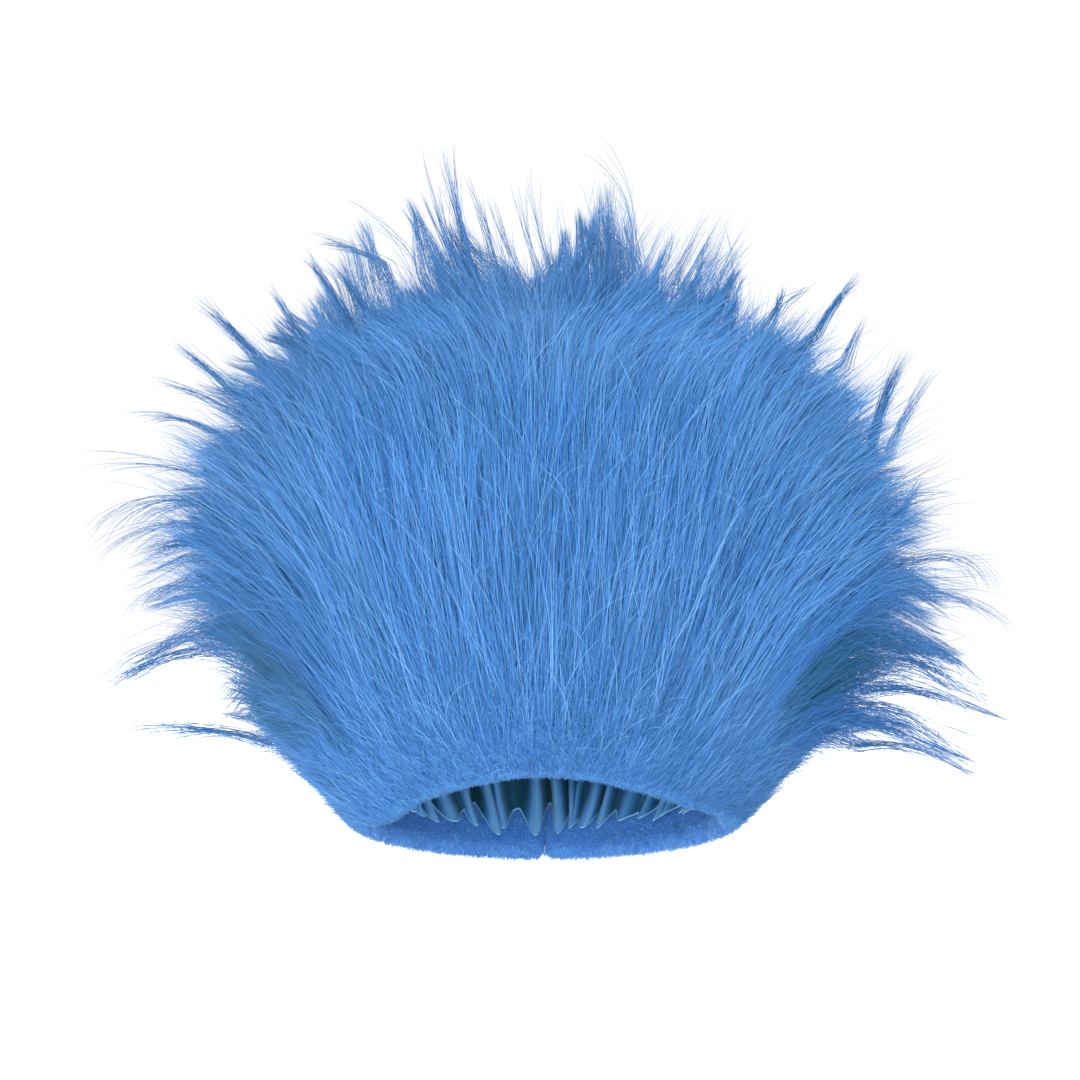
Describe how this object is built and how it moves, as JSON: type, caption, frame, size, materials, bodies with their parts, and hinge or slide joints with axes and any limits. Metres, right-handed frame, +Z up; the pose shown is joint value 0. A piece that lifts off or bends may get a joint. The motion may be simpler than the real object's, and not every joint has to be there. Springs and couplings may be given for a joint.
{
  "type": "puppet fur hair cap",
  "caption": "Shaggy long-pile fur hair cap for a puppet's head, domed and lined, with a gathered frill inside an elasticated opening and a rear lip that stretches on a sprung hinge.",
  "frame": {"origin": "centre of the head opening, between its two side corners", "axes": "+X to the right as the cap is seen from the front, +Y from brow to nape, +Z up from the opening to the crown"},
  "size_m": [0.3912, 0.3029, 0.3052],
  "materials": {
    "pile": "satin",
    "plush": "matte",
    "backing": "matte",
    "wadding": "matte",
    "satin": "satin",
    "elastic": "matte",
    "thread": "satin"
  },
  "bodies": {
    "cap": {"pile_front": "pile", "pile_rear_right": "pile", "pile_rear_left": "pile", "backing_front": "backing", "backing_rear_right": "backing", "backing_rear_left": "backing", "wadding_front": "wadding", "wadding_rear_right": "wadding", "wadding_rear_left": "wadding", "lining_front": "satin", "lining_rear_right": "satin", "lining_rear_left": "satin", "lining_frill_front": "satin", "lining_frill_rear": "satin", "rim_band_front": "plush", "elastic_front": "elastic", "casing_thread_front": "thread", "crown_seam_thread": "thread", "back_seam_thread": "thread"},
    "rear_lip": {"rim_band_rear_right": "plush", "rim_band_rear_left": "plush", "elastic_rear": "elastic", "casing_thread_rear": "thread"}
  },
  "joints": [
    {"name": "nape_stretch", "type": "hinge", "parent": "cap", "child": "rear_lip", "pos_m": [0, -0.003, -0.0028], "axis": [-1, 0, 0], "range_deg": [0, 20], "stiffness_Nm_per_rad": 0.06, "springref_deg": -28.65}
  ]
}
